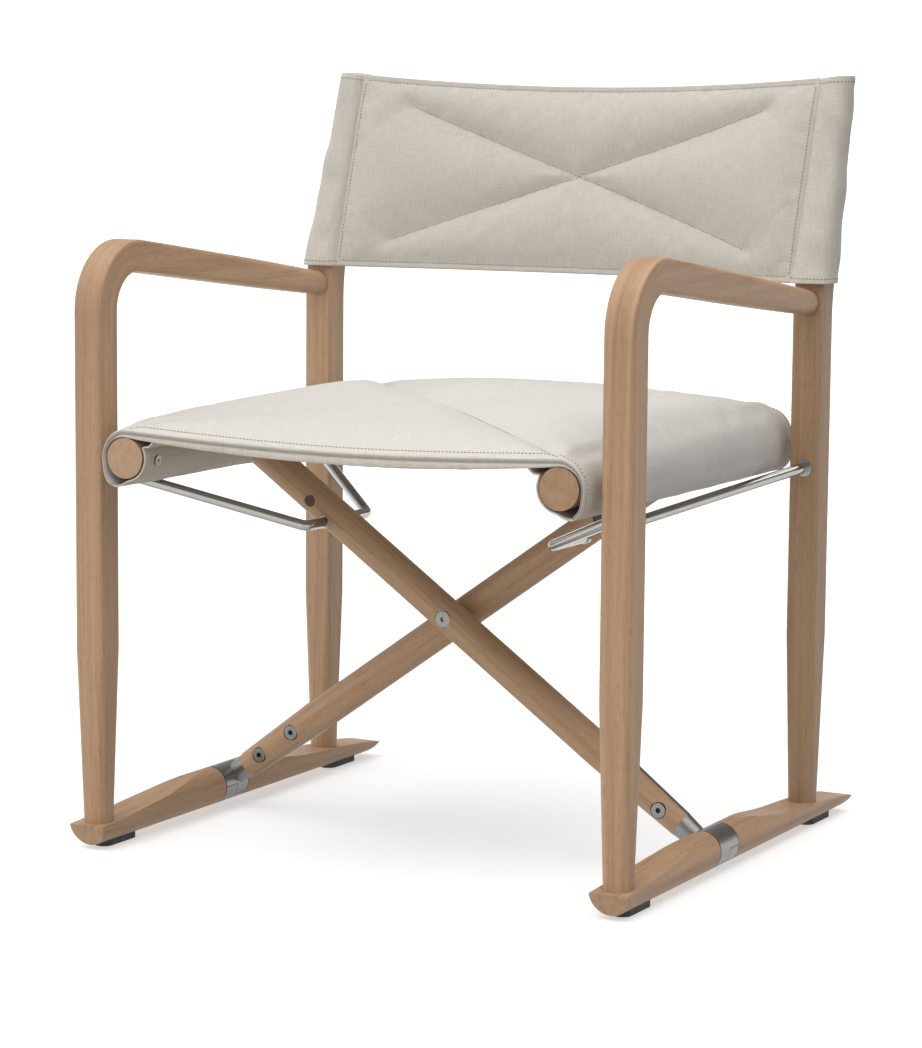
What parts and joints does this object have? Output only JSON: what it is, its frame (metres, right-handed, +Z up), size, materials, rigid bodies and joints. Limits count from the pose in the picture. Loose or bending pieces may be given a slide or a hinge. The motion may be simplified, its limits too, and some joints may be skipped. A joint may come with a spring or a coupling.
{
  "type": "folding director chair",
  "caption": "Folding director chair: timber side frames and crossed legs on collar hinges, bent armrests, steel stay rods, quilted canvas seat and back.",
  "frame": {"origin": "on the floor under the middle of the overall width and depth", "axes": "+Z up, -Y the way the sitter faces, +X the sitter's left hand; the fold axes all run along Y"},
  "size_m": [0.661, 0.6086, 0.824],
  "materials": {
    "wood": "oiled light teak, fine open grain, satin",
    "collar_metal": "satin cast and turned grey metal",
    "screw_metal": "satin hexagon-socket hardware",
    "stay_steel": "polished round bar",
    "plug_metal": "dark oxidised cross dowel",
    "canvas": "heavy off-white linen canvas",
    "canvas_pad": "quilted off-white linen over wadding",
    "foot_rubber": "dark grey moulded rubber, matt"
  },
  "bodies": {
    "frame_right": {"runner_right": "wood", "foot_pads_right": "foot_rubber", "foot_pad_screws_right": "screw_metal", "front_leg_armrest_right": "wood", "rear_post_right": "wood", "armrest_dowel_right": "wood", "stay_sockets_right": "stay_steel", "stay_end_pins_right": "stay_steel", "back_sleeve_right": "canvas", "back_panel": "canvas_pad"},
    "frame_left": {"runner_left": "wood", "foot_pads_left": "foot_rubber", "foot_pad_screws_left": "screw_metal", "front_leg_armrest_left": "wood", "rear_post_left": "wood", "armrest_dowel_left": "wood", "stay_sockets_left": "stay_steel", "stay_end_pins_left": "stay_steel", "back_sleeve_left": "canvas"},
    "cross_front": {"cross_leg_front": "wood", "collar_yoke_right": "collar_metal", "collar_cap_right": "collar_metal", "collar_screws_right": "screw_metal", "tongue_bolts_right": "screw_metal", "pivot_bolt": "screw_metal", "pivot_sleeve_nut": "screw_metal", "pivot_washer": "screw_metal", "stay_bushes_left": "stay_steel", "rail_plug_left": "plug_metal", "rail_bolt_left": "screw_metal", "seat_rail_left": "wood", "seat_wrap_left": "canvas", "seat_screws_left": "screw_metal", "seat_panel": "canvas_pad"},
    "cross_rear": {"cross_leg_rear": "wood", "collar_yoke_left": "collar_metal", "collar_cap_left": "collar_metal", "collar_screws_left": "screw_metal", "tongue_bolts_left": "screw_metal", "stay_bushes_right": "stay_steel", "rail_plug_right": "plug_metal", "rail_bolt_right": "screw_metal", "seat_rail_right": "wood", "seat_wrap_right": "canvas", "seat_screws_right": "screw_metal"},
    "stay_right": {"stay_rod_right": "stay_steel"},
    "stay_left": {"stay_rod_left": "stay_steel"}
  },
  "joints": [
    {"name": "fold_right_collar", "type": "hinge", "parent": "frame_right", "child": "cross_front", "pos_m": [0.308, -0.04575, 0.0255], "axis": [0, 1, 0], "range_deg": [0, 38.78], "deforming": ["back_panel", "seat_panel"]},
    {"name": "fold_centre_pivot", "type": "hinge", "parent": "cross_front", "child": "cross_rear", "pos_m": [0, -0.03575, 0.244], "axis": [0, 1, 0], "range_deg": [-83.3, 0]},
    {"name": "fold_left_collar", "type": "hinge", "parent": "cross_rear", "child": "frame_left", "pos_m": [-0.308, -0.02575, 0.0255], "axis": [0, 1, 0], "range_deg": [0, 38.79]},
    {"name": "stay_right_pivot", "type": "hinge", "parent": "cross_rear", "child": "stay_right", "pos_m": [0.14847, -0.01675, 0.3389], "axis": [0, 1, 0], "range_deg": [0, 134.04]},
    {"name": "stay_left_pivot", "type": "hinge", "parent": "cross_front", "child": "stay_left", "pos_m": [-0.14847, -0.05475, 0.3389], "axis": [0, 1, 0], "range_deg": [-134.04, 0]}
  ],
  "couplings": [
    {"joint": "fold_centre_pivot", "follows": "fold_right_collar", "ratio": -2.148},
    {"joint": "fold_left_collar", "follows": "fold_right_collar", "ratio": 1},
    {"joint": "stay_right_pivot", "follows": "fold_right_collar", "ratio": 3.4565},
    {"joint": "stay_left_pivot", "follows": "fold_right_collar", "ratio": -3.4565}
  ]
}
